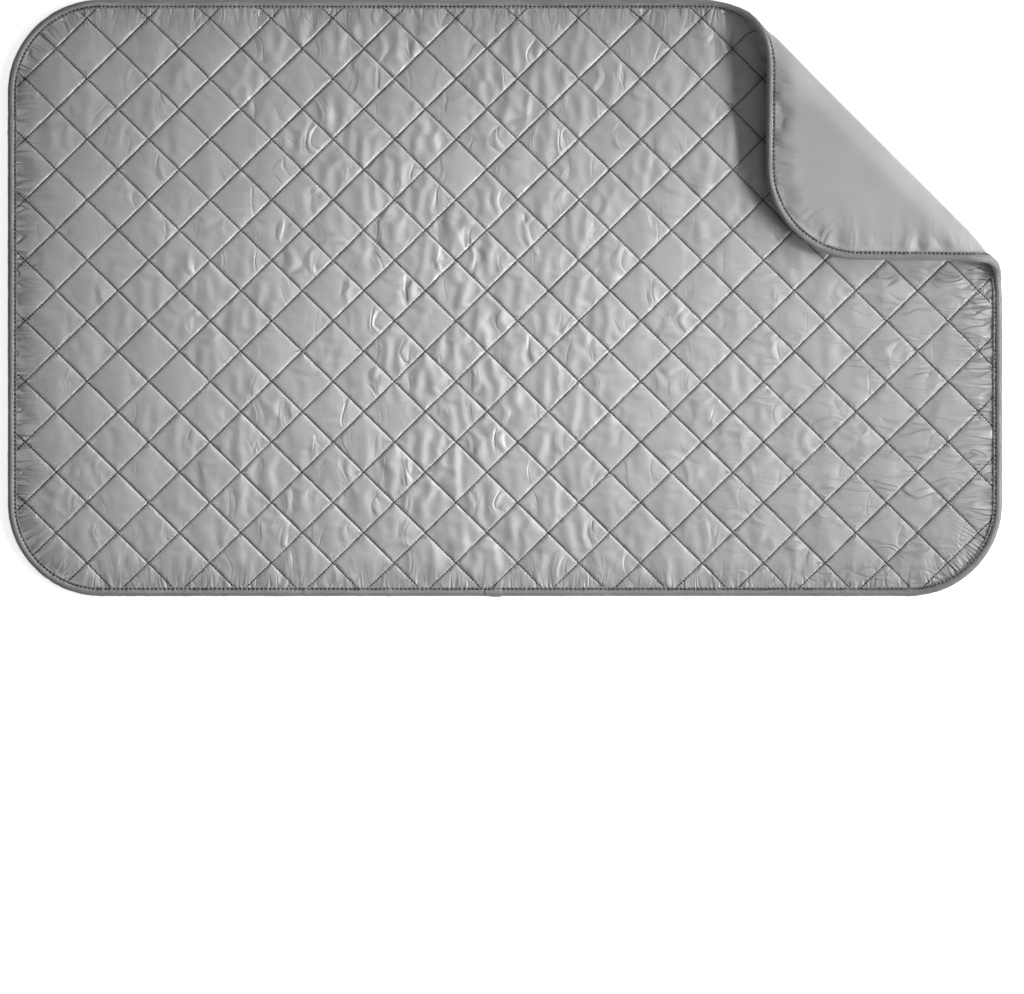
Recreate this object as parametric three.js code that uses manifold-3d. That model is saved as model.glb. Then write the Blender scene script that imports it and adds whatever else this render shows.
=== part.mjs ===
// Ironing pad, laid out flat with one corner turned back over itself so that its plain underside shows.
// Millimetres, +Z up. The origin lies under the middle of the pad, on the surface that it lies on,
// and +X runs along its length. Every layer is made flat first, and then one function turns the corner.
import * as THREE from "three";
import { mergeVertices } from "three/addons/utils/BufferGeometryUtils.js";
import Module from "manifold-3d";

// Outline of the pad before its corner is turned
const PAD_LENGTH = 825;
const PAD_WIDTH = 495;
const CORNER_RADIUS = 77.5;

// Layers from the bottom up, at full thickness and pressed together under the binding
const BACKING = 0.4;
const FELT = 1.5;
const FELT_PRESSED = 0.6;
const SCRIM = 0.2;
const WADDING = 1.4;
const WADDING_PRESSED = 0.5;
const COVER = 0.6;
const COVER_PRESSED = 0.4;
const LAYER_GAP = 0.3;

// Diamond quilting: the distance between crossings along the length and across the width,
// how far each diamond swells above its stitch lines, and one crossing's place from the middle
const QUILT_PITCH_X = 51;
const QUILT_PITCH_Y = 50.2;
const QUILT_SWELL = 1.9;
const QUILT_CROSSING_X = -15.5;
const QUILT_CROSSING_Y = 5.9;

// Edge binding: a tape folded over the edge, sewn through by one row of stitches near its inner rim
const TAPE = 0.7;
const LEAF_WIDTH = 8;
const TAPE_FOLD = 1.4;
const SEAM_INSET = 6.2;
const THREAD = 0.5;
const EDGE_RAMP = 10;

// The two ends of the tape meet on the front edge, and a short tack crosses the tape beside either end
const END_JOINT_X = -11;
const END_JOINT_GAP = 0.4;
const END_TACK_PITCH = 11;
const END_TACK_LENGTH = 4.4;
const END_TACK_WIDTH = 0.9;

// Turned corner: where the roll starts, measured from the sharp corner along either edge,
// its radius under the pad, how far it turns, and how far the flap slips along the crease
const ROLL_ON_LENGTH = 245;
const ROLL_ON_WIDTH = 247;
const ROLL_RADIUS = 17.5;
const ROLL_TURN = THREE.MathUtils.degToRad(187);
const FLAP_SLIP = 14.5;

// Facets of the round stretches
const CORNER_STEPS = 5;
const ROLL_STEPS = 5;
const THREAD_SIDES = 5;
const TACK_CAP_STEPS = 2;
const TACK_SIDES = 8;

// A point this close to a line of the roll counts as on it
const ON_LINE = 0.01;

const wasm = await Module();
wasm.setup();

// The roll on the flat pad: a point where it starts, the way along the crease and the way to the corner,
// and the lines, as distances past its start, along which the flat layers bend
const rollStart = new THREE.Vector2(PAD_LENGTH / 2 - ROLL_ON_LENGTH, PAD_WIDTH / 2);
const alongCrease = new THREE.Vector2(ROLL_ON_LENGTH, -ROLL_ON_WIDTH).normalize();
const towardsCorner = new THREE.Vector2(ROLL_ON_WIDTH, ROLL_ON_LENGTH).normalize();
const rollLines = [];
for (let step = 0; step <= ROLL_STEPS; step++) {
  rollLines.push((ROLL_RADIUS * ROLL_TURN * step) / ROLL_STEPS);
}

// How far a point of the flat pad lies past the start of the roll
function pastRoll(point) {
  return new THREE.Vector2(point.x, point.y).sub(rollStart).dot(towardsCorner);
}

// The place of a point of the flat pad after its corner is turned up, over and back
function turned(point) {
  const past = pastRoll(point);
  if (past <= 0) return point;
  const turn = Math.min(past / ROLL_RADIUS, ROLL_TURN);
  const beyond = past - turn * ROLL_RADIUS;
  const radius = ROLL_RADIUS - point.z;
  const reach = radius * Math.sin(turn) + beyond * Math.cos(turn);
  const height = ROLL_RADIUS - radius * Math.cos(turn) + beyond * Math.sin(turn);
  const slip = FLAP_SLIP * THREE.MathUtils.smoothstep(turn, 0, ROLL_TURN);
  const along = new THREE.Vector2(point.x, point.y).sub(rollStart).dot(alongCrease) + slip;
  const plan = rollStart.clone().addScaledVector(towardsCorner, reach).addScaledVector(alongCrease, along);
  return new THREE.Vector3(plan.x, plan.y, height);
}

// The points where a straight stretch of the outline crosses the lines of the roll, in order
function crossings(from, to) {
  const start = pastRoll(from);
  const end = pastRoll(to);
  const crossed = rollLines.filter((line) => (start - line) * (end - line) < 0);
  if (end < start) crossed.reverse();
  return crossed.map((line) => from.clone().lerp(to, (line - start) / (end - start)));
}

// The pad's outline drawn in by the inset: four quarter circles, anticlockwise from the right edge,
// with a point wherever it crosses a line of the roll
function outline(inset) {
  const rounded = [];
  const reach = CORNER_RADIUS - inset;
  for (let corner = 0; corner < 4; corner++) {
    const start = (corner * Math.PI) / 2;
    const middleX = Math.sign(Math.cos(start + Math.PI / 4)) * (PAD_LENGTH / 2 - CORNER_RADIUS);
    const middleY = Math.sign(Math.sin(start + Math.PI / 4)) * (PAD_WIDTH / 2 - CORNER_RADIUS);
    for (let step = 0; step <= CORNER_STEPS; step++) {
      const angle = start + (step / CORNER_STEPS) * (Math.PI / 2);
      rounded.push(new THREE.Vector2(middleX + reach * Math.cos(angle), middleY + reach * Math.sin(angle)));
    }
  }
  return rounded.flatMap((point, i) => [point, ...crossings(point, rounded[(i + 1) % rounded.length])]);
}

// A geometry of loose triangles from a list of corners, three for each face
function geometryOf(corners) {
  return new THREE.BufferGeometry().setFromPoints(corners);
}

// The corners of a geometry's triangles, three for each face
function cornersOf(geometry) {
  const loose = geometry.index ? geometry.toNonIndexed() : geometry;
  const position = loose.getAttribute("position");
  const corner = (_, i) => new THREE.Vector3().fromBufferAttribute(position, i);
  return Array.from({ length: position.count }, corner);
}

// Strips between each ring and the next, facing away from the middle of the pad as the rings climb
function stripsBetween(rings) {
  const corners = [];
  for (let ring = 0; ring + 1 < rings.length; ring++) {
    const low = rings[ring];
    const high = rings[ring + 1];
    for (let i = 0; i < low.length; i++) {
      const next = (i + 1) % low.length;
      corners.push(low[i], low[next], high[next], low[i], high[next], high[i]);
    }
  }
  return corners;
}

// The outline as a ring of points at one inset and height
function ringAt([inset, height]) {
  return outline(inset).map((point) => new THREE.Vector3(point.x, point.y, height));
}

// A fan of triangles over a ring of corners
function fanOf(ring) {
  const corners = [];
  for (let i = 1; i + 1 < ring.length; i++) {
    corners.push(ring[0], ring[i], ring[i + 1]);
  }
  return corners;
}

// A flat cap inside a ring, facing up: one fan of triangles for each stretch between two lines of the roll
function capOf(ring) {
  const corners = [];
  const limits = [-Infinity, ...rollLines, Infinity];
  for (let k = 0; k + 1 < limits.length; k++) {
    const low = limits[k] - ON_LINE;
    const high = limits[k + 1] + ON_LINE;
    const stretch = ring.filter((point) => pastRoll(point) > low && pastRoll(point) < high);
    corners.push(...fanOf(stretch));
  }
  return corners;
}

// A sheet whose rim follows the profile from its under face to its upper face, closed by two flat caps
function sheetBody(profile) {
  const rings = profile.map(ringAt);
  const underFacingDown = capOf(rings[0]).reverse();
  const upper = capOf(rings[rings.length - 1]);
  return geometryOf([...stripsBetween(rings), ...underFacingDown, ...upper]);
}

// A strand or tape that runs all round the pad, with a section given by insets and heights
function roundBody(section) {
  const rings = section.map(ringAt);
  return geometryOf(stripsBetween([...rings, rings[0]]));
}

// A closed geometry as a solid for cutting, and a solid back as a geometry
function solidOf(geometry) {
  const bare = new THREE.BufferGeometry().setAttribute("position", geometry.getAttribute("position"));
  if (geometry.index) bare.setIndex(geometry.index);
  const merged = mergeVertices(bare);
  const mesh = new wasm.Mesh({
    numProp: 3,
    vertProperties: merged.getAttribute("position").array,
    triVerts: new Uint32Array(merged.index.array),
  });
  return new wasm.Manifold(mesh);
}

function geometryOfSolid(solid) {
  const mesh = solid.getMesh();
  return new THREE.BufferGeometry()
    .setAttribute("position", new THREE.BufferAttribute(mesh.vertProperties, 3))
    .setIndex(new THREE.BufferAttribute(mesh.triVerts, 1));
}

// The part of a triangle on one side of a line of the roll, as a fan of triangles
function partOfFace(face, sides, side) {
  const part = [];
  for (let k = 0; k < 3; k++) {
    const next = (k + 1) % 3;
    if (sides[k] * side >= 0) part.push(face[k]);
    if (sides[k] * sides[next] < 0) {
      const [low, high] = sides[k] < 0 ? [k, next] : [next, k];
      part.push(face[low].clone().lerp(face[high], sides[low] / (sides[low] - sides[high])));
    }
  }
  return fanOf(part);
}

// Splits each triangle that crosses a line of the roll, so that the flat pad can bend there
function splitAt(corners, line) {
  const split = [];
  for (let i = 0; i < corners.length; i += 3) {
    const face = corners.slice(i, i + 3);
    const sides = face.map((corner) => {
      const side = pastRoll(corner) - line;
      return Math.abs(side) < ON_LINE ? 0 : side;
    });
    if (Math.min(...sides) < 0 && Math.max(...sides) > 0) {
      split.push(...partOfFace(face, sides, 1), ...partOfFace(face, sides, -1));
    } else {
      split.push(...face);
    }
  }
  return split;
}

// A named piece from a flat geometry, with its corner turned like the rest of the pad
function piece(name, flat, colour, roughness, metalness) {
  const corners = rollLines.reduce(splitAt, cornersOf(flat));
  const geometry = geometryOf(corners.map(turned));
  geometry.computeVertexNormals();
  const material = new THREE.MeshStandardMaterial({ color: colour, roughness, metalness });
  const mesh = new THREE.Mesh(geometry, material);
  mesh.name = name;
  return mesh;
}

// Heights of the binding at the rim, which clears the surface by the thread under it
const bindingUnder = THREAD + LAYER_GAP;
const layersUnder = bindingUnder + TAPE + LAYER_GAP;

// Stacks the layers, in the middle of the pad and under the binding
const layers = [
  { name: "backing_cloth", full: BACKING, pressed: BACKING },
  { name: "heat_felt", full: FELT, pressed: FELT_PRESSED },
  { name: "quilt_scrim", full: SCRIM, pressed: SCRIM },
  { name: "quilt_wadding", full: WADDING, pressed: WADDING_PRESSED },
  { name: "quilted_cover", full: COVER, pressed: COVER_PRESSED },
];
let middleHeight = 0;
let rimHeight = layersUnder;
for (const layer of layers) {
  layer.middle = [middleHeight, middleHeight + layer.full];
  layer.rim = [rimHeight, rimHeight + layer.pressed];
  middleHeight += layer.full + LAYER_GAP;
  rimHeight += layer.pressed + LAYER_GAP;
}
const [backing, felt, scrim, wadding, cover] = layers;
const bindingUpper = rimHeight + TAPE;

// The layers end inside the fold of the tape, and reach their full height a little inside its leaves
const layerInset = TAPE_FOLD + LAYER_GAP;
const leafInset = LEAF_WIDTH + LAYER_GAP;
const rampInset = leafInset + EDGE_RAMP;

// The rim of a layer: out along its under face, up its cut edge and back along its upper face
function layerProfile(layer, upperMiddle) {
  return [
    [rampInset, layer.middle[0]],
    [leafInset, layer.rim[0]],
    [layerInset, layer.rim[0]],
    [layerInset, layer.rim[1]],
    [leafInset, layer.rim[1]],
    [rampInset, upperMiddle],
  ];
}

// Diamond quilting as one raised field: low at the crossings, high in the middle of each diamond,
// with every fold of the field along a stitch line
function quiltField(low, high, under) {
  const stepX = QUILT_PITCH_X / 2;
  const stepY = QUILT_PITCH_Y / 2;
  const reachX = Math.ceil((PAD_LENGTH / 2 + Math.abs(QUILT_CROSSING_X)) / stepX) + 1;
  const reachY = Math.ceil((PAD_WIDTH / 2 + Math.abs(QUILT_CROSSING_Y)) / stepY) + 1;
  const isCrossing = (i, j) => (i + j) % 2 === 0;
  const base = (i, j) => new THREE.Vector3(QUILT_CROSSING_X + i * stepX, QUILT_CROSSING_Y + j * stepY, under);
  const top = (i, j) => base(i, j).setZ(isCrossing(i, j) ? low : high);
  const corners = [];
  for (let i = -reachX; i < reachX; i++) {
    for (let j = -reachY; j < reachY; j++) {
      const square = [[i, j], [i + 1, j], [i + 1, j + 1], [i, j + 1]];
      const first = isCrossing(i, j) ? 0 : 1;
      const [a, b, c, d] = [0, 1, 2, 3].map((k) => square[(first + k) % 4]);
      for (const [p, q, r] of [[a, b, c], [a, c, d]]) {
        corners.push(top(...p), top(...q), top(...r), base(...p), base(...r), base(...q));
      }
    }
  }
  const wall = (p, q) => corners.push(base(...p), base(...q), top(...q), base(...p), top(...q), top(...p));
  for (let i = -reachX; i < reachX; i++) {
    wall([i, -reachY], [i + 1, -reachY]);
    wall([i + 1, reachY], [i, reachY]);
  }
  for (let j = -reachY; j < reachY; j++) {
    wall([reachX, j], [reachX, j + 1]);
    wall([-reachX, j + 1], [-reachX, j]);
  }
  return geometryOf(corners);
}

// The silver cover with the loft that fills its diamonds, drawn down at every stitch line and at the rim
function quiltedCover() {
  const crown = cover.middle[1] + QUILT_SWELL;
  const blank = sheetBody(layerProfile(cover, crown + LAYER_GAP));
  const field = quiltField(cover.middle[1], crown, backing.middle[0]);
  return geometryOfSolid(solidOf(blank).intersect(solidOf(field)));
}

// The tape folded over the rim, cut through where its two ends meet on the front edge
function edgeBinding() {
  const tape = roundBody([
    [LEAF_WIDTH, bindingUnder],
    [TAPE_FOLD, bindingUnder],
    [0, bindingUnder + TAPE_FOLD],
    [0, bindingUpper - TAPE_FOLD],
    [TAPE_FOLD, bindingUpper],
    [LEAF_WIDTH, bindingUpper],
    [LEAF_WIDTH, bindingUpper - TAPE],
    [TAPE_FOLD, bindingUpper - TAPE],
    [TAPE, bindingUpper - TAPE_FOLD],
    [TAPE, bindingUnder + TAPE_FOLD],
    [TAPE_FOLD, bindingUnder + TAPE],
    [LEAF_WIDTH, bindingUnder + TAPE],
  ]);
  const slot = new THREE.BoxGeometry(END_JOINT_GAP, CORNER_RADIUS, PAD_WIDTH);
  slot.translate(END_JOINT_X, -PAD_WIDTH / 2, 0);
  return geometryOfSolid(solidOf(tape).subtract(solidOf(slot)));
}

// One thread of the binding seam, all round the pad at the height of its middle
function seamThread(middle) {
  const section = [];
  for (let side = 0; side < THREAD_SIDES; side++) {
    const angle = ((side + 0.5) / THREAD_SIDES) * 2 * Math.PI;
    const out = (THREAD / 2) * Math.cos(angle);
    section.push([SEAM_INSET - out, middle + (THREAD / 2) * Math.sin(angle)]);
  }
  return roundBody(section);
}

// A bar of close stitches across the tape, on its outer part, beside one of its ends
function endTack(side) {
  const radius = END_TACK_WIDTH / 2;
  const straight = END_TACK_LENGTH - END_TACK_WIDTH;
  const bar = new THREE.CapsuleGeometry(radius, straight, TACK_CAP_STEPS, TACK_SIDES);
  const outer = -PAD_WIDTH / 2 + TAPE_FOLD;
  const x = END_JOINT_X + (side * END_TACK_PITCH) / 2;
  return bar.translate(x, outer + END_TACK_LENGTH / 2, bindingUpper + LAYER_GAP + radius);
}

const underThread = bindingUnder - LAYER_GAP - THREAD / 2;
const upperThread = bindingUpper + LAYER_GAP + THREAD / 2;

const pad = new THREE.Group();
pad.add(
  piece(backing.name, sheetBody(layerProfile(backing, backing.middle[1])), 0xa3a3a2, 0.6, 0),
  piece(felt.name, sheetBody(layerProfile(felt, felt.middle[1])), 0xd9d4c8, 0.95, 0),
  piece(scrim.name, sheetBody(layerProfile(scrim, scrim.middle[1])), 0xe4e3df, 0.9, 0),
  piece(wadding.name, sheetBody(layerProfile(wadding, wadding.middle[1])), 0xf0efea, 0.95, 0),
  piece(cover.name, quiltedCover(), 0xb4b4b4, 0.42, 0.6),
  piece("edge_binding", edgeBinding(), 0x7c7c7d, 0.7, 0),
  piece("binding_seam_bobbin_thread", seamThread(underThread), 0x4b4b4d, 0.8, 0),
  piece("binding_seam_needle_thread", seamThread(upperThread), 0x4b4b4d, 0.8, 0),
  piece("binding_end_tack_left", endTack(-1), 0x3c3c3e, 0.8, 0),
  piece("binding_end_tack_right", endTack(1), 0x3c3c3e, 0.8, 0),
);

export default pad;
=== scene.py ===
# Ironing pad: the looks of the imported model, in metres and in the model's own frame.
# The pieces come in the order in which the pad is put together, from its underside up.
import math

import bpy
import numpy as np
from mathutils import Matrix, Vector


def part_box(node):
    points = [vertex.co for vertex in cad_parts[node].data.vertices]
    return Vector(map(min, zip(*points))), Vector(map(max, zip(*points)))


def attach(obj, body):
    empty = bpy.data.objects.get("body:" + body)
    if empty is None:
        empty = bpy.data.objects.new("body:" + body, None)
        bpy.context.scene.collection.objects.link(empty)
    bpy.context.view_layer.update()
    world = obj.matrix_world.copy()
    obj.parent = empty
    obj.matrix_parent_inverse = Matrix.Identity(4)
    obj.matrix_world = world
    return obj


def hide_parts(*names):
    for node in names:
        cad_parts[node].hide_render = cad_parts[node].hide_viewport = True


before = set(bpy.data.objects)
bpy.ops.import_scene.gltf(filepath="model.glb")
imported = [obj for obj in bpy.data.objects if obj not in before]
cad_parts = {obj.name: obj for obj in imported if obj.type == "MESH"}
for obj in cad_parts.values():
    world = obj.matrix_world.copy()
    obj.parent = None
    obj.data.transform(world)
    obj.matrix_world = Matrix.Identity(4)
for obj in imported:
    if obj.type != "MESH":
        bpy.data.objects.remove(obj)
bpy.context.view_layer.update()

# Backing cloth
# A plain woven polyester sheet under the whole pad. Its rim is caught in the binding all round,
# so it shows only on the turned corner and from below.
MM = 0.001
binding_low, binding_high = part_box("edge_binding")
PAD_LENGTH = binding_high.x - binding_low.x
PAD_WIDTH = binding_high.y - binding_low.y
CORNER_RADIUS = 77.5 * MM
LAYER_INSET = 1.7 * MM
LEAF_INSET = 8.3 * MM
RAMP_INSET = 24.0 * MM
BACKING_STEPS = 12
BACKING_MIDDLE = 0.0
BACKING_RIM = 1.8 * MM
BACKING_THICKNESS = 0.4 * MM
BACKING_SWELL = 0.8 * MM
BACKING_GATHER = 1.2 * MM
BACKING_GATHER_REACH = 13 * MM

# The quilting's pitch along the length and across the width, and one crossing of its rows:
# every sheet is a grid along the two ways of the quilting, so that the rows fall on its lines.
QUILT_PITCH = np.array([51.0, 50.2]) * MM
QUILT_CROSSING = np.array([-15.5, 5.9]) * MM

# The turned corner: the roll's two ends on the pad's edges, measured from the sharp corner,
# its radius under the pad, how far it turns, and the slip of the flap along the crease.
ROLL_ON_LENGTH = 245 * MM
ROLL_ON_WIDTH = 247 * MM
ROLL_RADIUS = 17.5 * MM
ROLL_TURN = math.radians(187)
FLAP_SLIP = 14.5 * MM
ROLL_START = np.array([PAD_LENGTH / 2 - ROLL_ON_LENGTH, PAD_WIDTH / 2])
ALONG_CREASE = np.array([ROLL_ON_LENGTH, -ROLL_ON_WIDTH]) / math.hypot(ROLL_ON_LENGTH, ROLL_ON_WIDTH)
TOWARDS_CORNER = np.array([ROLL_ON_WIDTH, ROLL_ON_LENGTH]) / math.hypot(ROLL_ON_LENGTH, ROLL_ON_WIDTH)


def smooth(value, low, high):
    """Rises smoothly from 0 at low to 1 at high."""
    t = np.clip((value - low) / (high - low), 0, 1)
    return t * t * (3 - 2 * t)


def turned(flat, height):
    """Where points of the flat pad lie once its corner is turned up, over and back."""
    past = (flat - ROLL_START) @ TOWARDS_CORNER
    along = (flat - ROLL_START) @ ALONG_CREASE
    turn = np.clip(past / ROLL_RADIUS, 0, ROLL_TURN)
    beyond = past - turn * ROLL_RADIUS
    radius = ROLL_RADIUS - height
    reach = radius * np.sin(turn) + beyond * np.cos(turn)
    lift = ROLL_RADIUS - radius * np.cos(turn) + beyond * np.sin(turn)
    slid = along + FLAP_SLIP * smooth(turn, 0, ROLL_TURN)
    plan = ROLL_START + np.outer(reach, TOWARDS_CORNER) + np.outer(slid, ALONG_CREASE)
    return np.column_stack([plan, lift])


def edge_depth(flat):
    """How far points of the flat pad lie inside its outline, and the way straight out to it."""
    straight = np.array([PAD_LENGTH, PAD_WIDTH]) / 2 - CORNER_RADIUS
    over = np.abs(flat) - straight
    outside = np.maximum(over, 0)
    length = np.linalg.norm(outside, axis=1)
    deepest = np.minimum(over.max(axis=1), 0)
    nearer_x = (over[:, 0] > over[:, 1]).astype(float)
    inner_way = np.column_stack([nearer_x, 1 - nearer_x])
    corner_way = outside / np.maximum(length, 1e-9)[:, None]
    way = np.where((length > 0)[:, None], corner_way, inner_way) * np.sign(flat)
    return CORNER_RADIUS - length - deepest, way


def quilt_place(flat):
    """Places counted in rows of the quilting: a row of either way lies at every whole number."""
    across = (flat - QUILT_CROSSING) / QUILT_PITCH
    return across[:, 0] + across[:, 1], across[:, 0] - across[:, 1]


QUILT_ROWS = math.ceil(np.sum(np.array([PAD_LENGTH, PAD_WIDTH]) / QUILT_PITCH) / 2) + 1


def sheet_grid(steps, inset, crowding=0.0):
    """A flat grid inside the outline, with so many steps from row to row of the quilting, which may
    crowd towards the rows. Returns its points, its faces, its rim as directed edges, and the place
    of each point in the whole grid."""
    count = np.arange(-QUILT_ROWS * steps, QUILT_ROWS * steps + 1) / steps
    wave = 2 * math.pi * count
    count = count - crowding * (np.sin(wave) * 0.57 + np.sin(2 * wave) * 0.215) / (2 * math.pi)
    rising, falling = np.meshgrid(count, count, indexing="ij")
    quilt_x = QUILT_CROSSING[0] + QUILT_PITCH[0] * (rising + falling) / 2
    quilt_y = QUILT_CROSSING[1] + QUILT_PITCH[1] * (rising - falling) / 2
    flat = np.column_stack([quilt_x.ravel(), quilt_y.ravel()])
    margin = 0.3 * QUILT_PITCH.min() / steps
    inside = (edge_depth(flat)[0] > inset + margin).reshape(rising.shape)
    whole = inside[:-1, :-1] & inside[:-1, 1:] & inside[1:, 1:] & inside[1:, :-1]
    number = np.arange(flat.shape[0]).reshape(rising.shape)
    corners = [number[:-1, :-1], number[:-1, 1:], number[1:, 1:], number[1:, :-1]]
    faces = np.column_stack([corner[whole] for corner in corners])
    used, faces = np.unique(faces, return_inverse=True)
    place = np.unravel_index(used, rising.shape)
    faces = faces.reshape(-1, 4)
    flat = flat[used]
    edges = np.vstack([faces[:, [k, (k + 1) % 4]] for k in range(4)])
    key = np.sort(edges, axis=1) @ np.array([len(flat), 1])
    _, first, copies = np.unique(key, return_index=True, return_counts=True)
    rim = edges[first[copies == 1]]
    on_rim = np.unique(rim)
    depth, way = edge_depth(flat[on_rim])
    flat[on_rim] += way * (depth - inset)[:, None]
    return flat, faces, rim, place


def layer_height(flat, middle, rim):
    """Height of a layer's face: its own in the middle, another where the binding grips it."""
    depth, _ = edge_depth(flat)
    return rim + (middle - rim) * smooth(depth, LEAF_INSET, RAMP_INSET)


def new_piece(name, points, faces, flat):
    """A smooth mesh object that keeps the place of each point on the flat pad, for its weave."""
    mesh = bpy.data.meshes.new(name)
    mesh.from_pydata(points.tolist(), [], faces)
    mesh.attributes.new("flat_place", "FLOAT_VECTOR", "POINT")
    mesh.attributes["flat_place"].data.foreach_set("vector", np.ascontiguousarray(flat, float).ravel())
    mesh.shade_smooth()
    piece = bpy.data.objects.new(name, mesh)
    bpy.context.scene.collection.objects.link(piece)
    return piece


def closed_sheet(name, flat, faces, rim, upper, under):
    """A sheet with an upper and an under face, closed round its rim."""
    points = np.vstack([upper, under])
    start, end = rim.T
    side = np.column_stack([start, start + len(flat), end + len(flat), end])
    all_faces = np.vstack([faces, faces[:, ::-1] + len(flat), side])
    place = np.column_stack([flat, np.zeros(len(flat))])
    return new_piece(name, points, all_faces.tolist(), np.vstack([place, place]))


def linear(hex_colour):
    """An sRGB hex colour as linear red, green, blue and alpha."""
    shares = [int(hex_colour[k:k + 2], 16) / 255 for k in (1, 3, 5)]
    return [s / 12.92 if s <= 0.04045 else ((s + 0.055) / 1.055) ** 2.4 for s in shares] + [1.0]


def put(tree, kind, inputs=None, **settings):
    """Adds a node, sets its properties and fills its inputs: an output is linked, a value is set."""
    node = tree.nodes.new(kind)
    for key, value in settings.items():
        setattr(node, key, value)
    for key, value in (inputs or {}).items():
        if isinstance(value, bpy.types.NodeSocket):
            tree.links.new(value, node.inputs[key])
        else:
            node.inputs[key].default_value = value
    return node


def new_material(name):
    """An empty node material and its tree."""
    material = bpy.data.materials.new(name)
    material.use_nodes = True
    material.node_tree.nodes.clear()
    return material, material.node_tree


def wave_scale(spacing):
    """Scale of a wave texture whose bands repeat at the given spacing."""
    return 2 * math.pi / (20 * spacing)


def keep_creases(sheet, kind, place, strength):
    """Keeps on a closed sheet, for one kind of crease, where each point lies across the creases (in the
    first two values) and along them (in the third), and how marked the creases are there."""
    sheet.data.attributes.new(kind + "_place", "FLOAT_VECTOR", "POINT")
    sheet.data.attributes[kind + "_place"].data.foreach_set("vector", np.vstack([place, place]).ravel())
    sheet.data.attributes.new(kind + "_strength", "FLOAT", "POINT")
    sheet.data.attributes[kind + "_strength"].data.foreach_set("value", np.concatenate([strength, strength]))


def rim_place(flat):
    """The nearest place on the outline to each point, and the depth from it."""
    depth, way = edge_depth(flat)
    return np.column_stack([flat + way * depth[:, None], depth])


def creased(tree, relief, colour, kind, pitch, length, width, fold, shade):
    """Adds one kind of thin crease to a cloth's relief and colour, with its pitch, its length, its width
    as a share of the noise that lays it, its depth, and the share by which painted shade darkens the colour
    in it."""
    place = put(tree, "ShaderNodeAttribute", attribute_name=kind + "_place").outputs["Vector"]
    drawn = put(tree, "ShaderNodeVectorMath", {0: place, 1: (1 / pitch, 1 / pitch, 1 / length)},
                operation="MULTIPLY")
    waves = put(tree, "ShaderNodeTexNoise", {
        "Vector": drawn.outputs["Vector"], "Scale": 1.0, "Detail": 1.0, "Distortion": 0.5,
    })
    apart = put(tree, "ShaderNodeMath", {0: waves.outputs["Fac"], 1: 0.5}, operation="SUBTRACT")
    apart = put(tree, "ShaderNodeMath", {0: apart.outputs["Value"]}, operation="ABSOLUTE")
    crease = put(tree, "ShaderNodeMapRange", {
        "Value": apart.outputs["Value"], "From Min": 0.0, "From Max": width, "To Min": 1.0, "To Max": 0.0,
    }, interpolation_type="SMOOTHSTEP")
    strength = put(tree, "ShaderNodeAttribute", attribute_name=kind + "_strength").outputs["Fac"]
    depth = put(tree, "ShaderNodeMath", {0: crease.outputs["Result"], 1: strength}, operation="MULTIPLY")
    folded = put(tree, "ShaderNodeBump", {
        "Height": depth.outputs["Value"], "Strength": 1.0, "Distance": fold, "Normal": relief,
    }, invert=True)
    # Painted shade: the colour darkens in the crease, as shade would in a fold deeper than its relief.
    painted_crease_shade = put(tree, "ShaderNodeMath", {0: depth.outputs["Value"], 1: shade}, operation="MULTIPLY")
    shaded = put(tree, "ShaderNodeMix", {0: painted_crease_shade.outputs["Value"], 6: colour, 7: (0, 0, 0, 1)},
                 data_type="RGBA")
    return folded.outputs["Normal"], shaded.outputs[2]


# Plain woven polyester: close threads with a faint sheen, and a tone that drifts softly across the
# cloth. The threads are drawn about three times as coarse as real ones, so that they show.
def woven_polyester(name, dark, light, thread_spacing, roughness, bump, gathers=0.0):
    material, tree = new_material(name)
    place = put(tree, "ShaderNodeAttribute", attribute_name="flat_place").outputs["Vector"]
    scale = wave_scale(thread_spacing)
    warp = put(tree, "ShaderNodeTexWave", {"Vector": place, "Scale": scale}, bands_direction="X")
    weft = put(tree, "ShaderNodeTexWave", {"Vector": place, "Scale": scale}, bands_direction="Y")
    cloth = put(tree, "ShaderNodeMath", {0: warp.outputs["Fac"], 1: weft.outputs["Fac"]}, operation="MAXIMUM")
    blotch = put(tree, "ShaderNodeTexNoise", {"Vector": place, "Scale": 1 / (55.5 * MM), "Detail": 4.0})
    ramp = put(tree, "ShaderNodeValToRGB", {"Fac": blotch.outputs["Fac"]})
    ramp.color_ramp.elements[0].position = 0.35
    ramp.color_ramp.elements[0].color = linear(dark)
    ramp.color_ramp.elements[1].position = 0.65
    ramp.color_ramp.elements[1].color = linear(light)
    relief = put(tree, "ShaderNodeBump", {
        "Height": cloth.outputs["Value"], "Strength": bump, "Distance": 0.1 * MM,
    })
    normal, colour = relief.outputs["Normal"], ramp.outputs["Color"]
    if gathers:
        normal, colour = creased(tree, normal, colour, "gather", 14 * MM, 28 * MM, 0.25, gathers, 0.0)
    surface = put(tree, "ShaderNodeBsdfPrincipled", {
        "Base Color": colour,
        "Roughness": roughness,
        "Normal": normal,
        "Sheen Weight": 0.25,
        "Sheen Roughness": 0.5,
    })
    put(tree, "ShaderNodeOutputMaterial", {"Surface": surface.outputs["BSDF"]})
    return material


def soft_noise(shape, spacing, lengths, seed):
    """Smooth noise of unit spread on a grid along the two ways of the quilting,
    with its own length along the pad and across it."""
    ways = [np.fft.fftfreq(count, spacing) * 2 * math.pi for count in shape]
    rising, falling = np.meshgrid(*ways, indexing="ij")
    wave_x, wave_y = (rising + falling) / math.sqrt(2), (rising - falling) / math.sqrt(2)
    keep = np.exp(-((wave_x * lengths[0]) ** 2 + (wave_y * lengths[1]) ** 2) / 4)
    white = np.random.default_rng(seed).normal(size=shape)
    noise = np.fft.ifft2(np.fft.fft2(white) * keep).real
    return noise / noise.std()


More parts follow.
